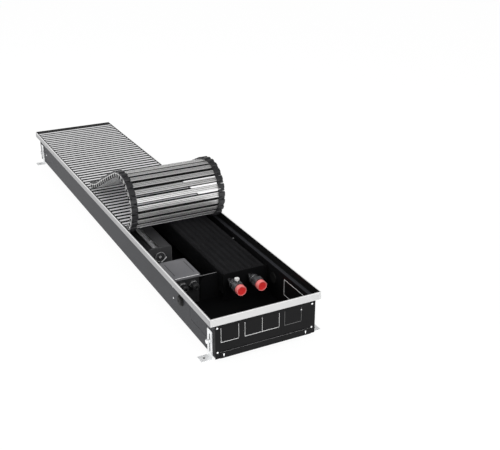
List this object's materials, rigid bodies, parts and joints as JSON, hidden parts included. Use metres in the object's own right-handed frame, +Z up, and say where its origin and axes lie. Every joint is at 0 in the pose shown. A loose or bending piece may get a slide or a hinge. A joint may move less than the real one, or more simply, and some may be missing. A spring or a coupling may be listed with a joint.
{
  "type": "trench convector heater",
  "caption": "In-floor trench convector: black steel trough with aluminium frame, roll-up slatted grille part rolled back, finned heat exchanger, tangential fan, valves and levelling feet.",
  "frame": {"origin": "on the floor that the foot plates stand on, under the middle of the heater's overall box", "axes": "+Y along the heater, away from the connection end; +X across it, from the fan side to the heat exchanger side; +Z up"},
  "size_m": [0.302, 1.501, 0.2556],
  "materials": {
    "trough_black": "satin black powder coat on sheet steel",
    "panel_black": "satin black powder coat on sheet steel",
    "anodised_aluminium": "natural anodised extrusion",
    "zinc_plate": "bright zinc plate",
    "grommet_rubber": "matte black",
    "black_plastic": "fine grain black",
    "coated_black_aluminium": "thin black coat on aluminium",
    "motor_black": "matte black",
    "red_plastic": "moulded red",
    "nickel": "dull nickel plate",
    "white_plastic": "moulded white",
    "grey_plastic": "fine grain grey"
  },
  "bodies": {
    "casing": {"trough_shell": "trough_black", "end_panel_near": "panel_black", "end_panel_far": "panel_black", "frame_rail_left": "anodised_aluminium", "frame_rail_right": "anodised_aluminium", "frame_rail_near": "anodised_aluminium", "frame_rail_far": "anodised_aluminium", "foot_screw_near_left": "zinc_plate", "foot_screw_near_right": "zinc_plate", "foot_screw_far_left": "zinc_plate", "foot_screw_far_right": "zinc_plate", "wall_grommet_left": "grommet_rubber", "wall_grommet_right": "grommet_rubber", "fan_housing": "black_plastic", "fan_bearing": "black_plastic", "fan_motor": "motor_black", "heat_exchanger_core": "coated_black_aluminium", "valve_supply": "nickel", "valve_return": "nickel", "junction_box_base": "black_plastic", "junction_box_lid": "grey_plastic", "cable_gland_left": "black_plastic", "cable_gland_right": "black_plastic", "air_baffle": "panel_black"},
    "grille_mat": {"grille_flat_mat": "anodised_aluminium"},
    "slat_01": {"grille_slat_01": "anodised_aluminium"},
    "slat_02": {"grille_slat_02": "anodised_aluminium"},
    "slat_03": {"grille_slat_03": "anodised_aluminium"},
    "slat_04": {"grille_slat_04": "anodised_aluminium"},
    "slat_05": {"grille_slat_05": "anodised_aluminium"},
    "slat_06": {"grille_slat_06": "anodised_aluminium"},
    "slat_07": {"grille_slat_07": "anodised_aluminium"},
    "slat_08": {"grille_slat_08": "anodised_aluminium"},
    "slat_09": {"grille_slat_09": "anodised_aluminium"},
    "slat_10": {"grille_slat_10": "anodised_aluminium"},
    "slat_11": {"grille_slat_11": "anodised_aluminium"},
    "slat_12": {"grille_slat_12": "anodised_aluminium"},
    "slat_13": {"grille_slat_13": "anodised_aluminium"},
    "slat_14": {"grille_slat_14": "anodised_aluminium"},
    "slat_15": {"grille_slat_15": "anodised_aluminium"},
    "slat_16": {"grille_slat_16": "anodised_aluminium"},
    "slat_17": {"grille_slat_17": "anodised_aluminium"},
    "slat_18": {"grille_slat_18": "anodised_aluminium"},
    "slat_19": {"grille_slat_19": "anodised_aluminium"},
    "slat_20": {"grille_slat_20": "anodised_aluminium"},
    "slat_21": {"grille_slat_21": "anodised_aluminium"},
    "slat_22": {"grille_slat_22": "anodised_aluminium"},
    "slat_23": {"grille_slat_23": "anodised_aluminium"},
    "slat_24": {"grille_slat_24": "anodised_aluminium"},
    "slat_25": {"grille_slat_25": "anodised_aluminium"},
    "slat_26": {"grille_slat_26": "anodised_aluminium"},
    "impeller": {"fan_impeller": "coated_black_aluminium"},
    "foot_near_left": {"foot_bracket_near_left": "zinc_plate"},
    "foot_near_right": {"foot_bracket_near_right": "zinc_plate"},
    "foot_far_left": {"foot_bracket_far_left": "zinc_plate"},
    "foot_far_right": {"foot_bracket_far_right": "zinc_plate"},
    "cap_supply": {"valve_cap_supply": "red_plastic"},
    "cap_return": {"valve_cap_return": "red_plastic"},
    "vent": {"air_vent": "white_plastic"}
  },
  "joints": [
    {"name": "fan_spin", "type": "hinge", "parent": "casing", "child": "impeller", "pos_m": [-0.08, -0.01, 0.06], "axis": [0, 1, 0], "continuous": true},
    {"name": "foot_near_left_height", "type": "slide", "parent": "casing", "child": "foot_near_left", "axis": [0, 0, -1], "range_m": [-0.008, 0.015]},
    {"name": "foot_near_right_height", "type": "slide", "parent": "casing", "child": "foot_near_right", "axis": [0, 0, -1], "range_m": [-0.008, 0.015]},
    {"name": "foot_far_left_height", "type": "slide", "parent": "casing", "child": "foot_far_left", "axis": [0, 0, -1], "range_m": [-0.008, 0.015]},
    {"name": "foot_far_right_height", "type": "slide", "parent": "casing", "child": "foot_far_right", "axis": [0, 0, -1], "range_m": [-0.008, 0.015]},
    {"name": "cap_supply_pull", "type": "slide", "parent": "casing", "child": "cap_supply", "axis": [0, -1, 0], "range_m": [0, 0.03]},
    {"name": "cap_return_pull", "type": "slide", "parent": "casing", "child": "cap_return", "axis": [0, -1, 0], "range_m": [0, 0.03]},
    {"name": "air_vent_turn", "type": "hinge", "parent": "casing", "child": "vent", "pos_m": [0.022, -0.5575, 0.08], "axis": [0, 0, 1], "range_deg": [0, 180]},
    {"name": "grille_lift", "type": "slide", "parent": "casing", "child": "grille_mat", "axis": [0, 0, 1], "range_m": [0, 0.04]},
    {"name": "slat_hinge_01", "type": "hinge", "parent": "grille_mat", "child": "slat_01", "pos_m": [0, -0.1917, 0.1], "axis": [1, 0, 0], "range_deg": [0, 12]},
    {"name": "slat_hinge_02", "type": "hinge", "parent": "slat_01", "child": "slat_02", "pos_m": [0, -0.21254, 0.10443], "axis": [1, 0, 0], "range_deg": [0, 16.3]},
    {"name": "slat_hinge_03", "type": "hinge", "parent": "slat_02", "child": "slat_03", "pos_m": [0, -0.23129, 0.11453], "axis": [1, 0, 0], "range_deg": [0, 16.3]},
    {"name": "slat_hinge_04", "type": "hinge", "parent": "slat_03", "child": "slat_04", "pos_m": [0, -0.24646, 0.12948], "axis": [1, 0, 0], "range_deg": [0, 16.3]},
    {"name": "slat_hinge_05", "type": "hinge", "parent": "slat_04", "child": "slat_05", "pos_m": [0, -0.25681, 0.14809], "axis": [1, 0, 0], "range_deg": [0, 16.3]},
    {"name": "slat_hinge_06", "type": "hinge", "parent": "slat_05", "child": "slat_06", "pos_m": [0, -0.26153, 0.16886], "axis": [1, 0, 0], "range_deg": [0, 16.3]},
    {"name": "slat_hinge_07", "type": "hinge", "parent": "slat_06", "child": "slat_07", "pos_m": [0, -0.26023, 0.19012], "axis": [1, 0, 0], "range_deg": [0, 16.3]},
    {"name": "slat_hinge_08", "type": "hinge", "parent": "slat_07", "child": "slat_08", "pos_m": [0, -0.25302, 0.21017], "axis": [1, 0, 0], "range_deg": [0, 16.3]},
    {"name": "slat_hinge_09", "type": "hinge", "parent": "slat_08", "child": "slat_09", "pos_m": [0, -0.24047, 0.22738], "axis": [1, 0, 0], "range_deg": [0, 16.3]},
    {"name": "slat_hinge_10", "type": "hinge", "parent": "slat_09", "child": "slat_10", "pos_m": [0, -0.22359, 0.24037], "axis": [1, 0, 0], "range_deg": [0, 16.3]},
    {"name": "slat_hinge_11", "type": "hinge", "parent": "slat_10", "child": "slat_11", "pos_m": [0, -0.20375, 0.24811], "axis": [1, 0, 0], "range_deg": [0, 16.3]},
    {"name": "slat_hinge_12", "type": "hinge", "parent": "slat_11", "child": "slat_12", "pos_m": [0, -0.18253, 0.24996], "axis": [1, 0, 0], "range_deg": [0, 10.11]},
    {"name": "slat_hinge_13", "type": "hinge", "parent": "slat_12", "child": "slat_13", "pos_m": [0, -0.16131, 0.24807], "axis": [1, 0, 0], "range_deg": [0, 10.11]},
    {"name": "slat_hinge_14", "type": "hinge", "parent": "slat_13", "child": "slat_14", "pos_m": [0, -0.14076, 0.24248], "axis": [1, 0, 0], "range_deg": [0, 10.11]},
    {"name": "slat_hinge_15", "type": "hinge", "parent": "slat_14", "child": "slat_15", "pos_m": [0, -0.12151, 0.23337], "axis": [1, 0, 0], "range_deg": [0, 0.4]},
    {"name": "slat_hinge_16", "type": "hinge", "parent": "slat_15", "child": "slat_16", "pos_m": [0, -0.10232, 0.22413], "axis": [1, 0, 0], "range_deg": [0, 0.4]},
    {"name": "slat_hinge_17", "type": "hinge", "parent": "slat_16", "child": "slat_17", "pos_m": [0, -0.08319, 0.21475], "axis": [1, 0, 0], "range_deg": [0, 0.4]},
    {"name": "slat_hinge_18", "type": "hinge", "parent": "slat_17", "child": "slat_18", "pos_m": [0, -0.06413, 0.20524], "axis": [1, 0, 0], "range_deg": [0, 0.4]},
    {"name": "slat_hinge_19", "type": "hinge", "parent": "slat_18", "child": "slat_19", "pos_m": [0, -0.04514, 0.19559], "axis": [1, 0, 0], "range_deg": [0, 0.4]},
    {"name": "slat_hinge_20", "type": "hinge", "parent": "slat_19", "child": "slat_20", "pos_m": [0, -0.02622, 0.18582], "axis": [1, 0, 0], "range_deg": [0, 0.4]},
    {"name": "slat_hinge_21", "type": "hinge", "parent": "slat_20", "child": "slat_21", "pos_m": [0, -0.00736, 0.17591], "axis": [1, 0, 0], "range_deg": [0, 0.4]},
    {"name": "slat_hinge_22", "type": "hinge", "parent": "slat_21", "child": "slat_22", "pos_m": [0, 0.01142, 0.16587], "axis": [1, 0, 0], "range_deg": [0, 0.4]},
    {"name": "slat_hinge_23", "type": "hinge", "parent": "slat_22", "child": "slat_23", "pos_m": [0, 0.03014, 0.1557], "axis": [-1, 0, 0], "range_deg": [0, 4]},
    {"name": "slat_hinge_24", "type": "hinge", "parent": "slat_23", "child": "slat_24", "pos_m": [0, 0.04952, 0.14686], "axis": [-1, 0, 0], "range_deg": [0, 4]},
    {"name": "slat_hinge_25", "type": "hinge", "parent": "slat_24", "child": "slat_25", "pos_m": [0, 0.06947, 0.1394], "axis": [-1, 0, 0], "range_deg": [0, 4]},
    {"name": "slat_hinge_26", "type": "hinge", "parent": "slat_25", "child": "slat_26", "pos_m": [0, 0.08989, 0.13334], "axis": [-1, 0, 0], "range_deg": [0, 4]}
  ]
}
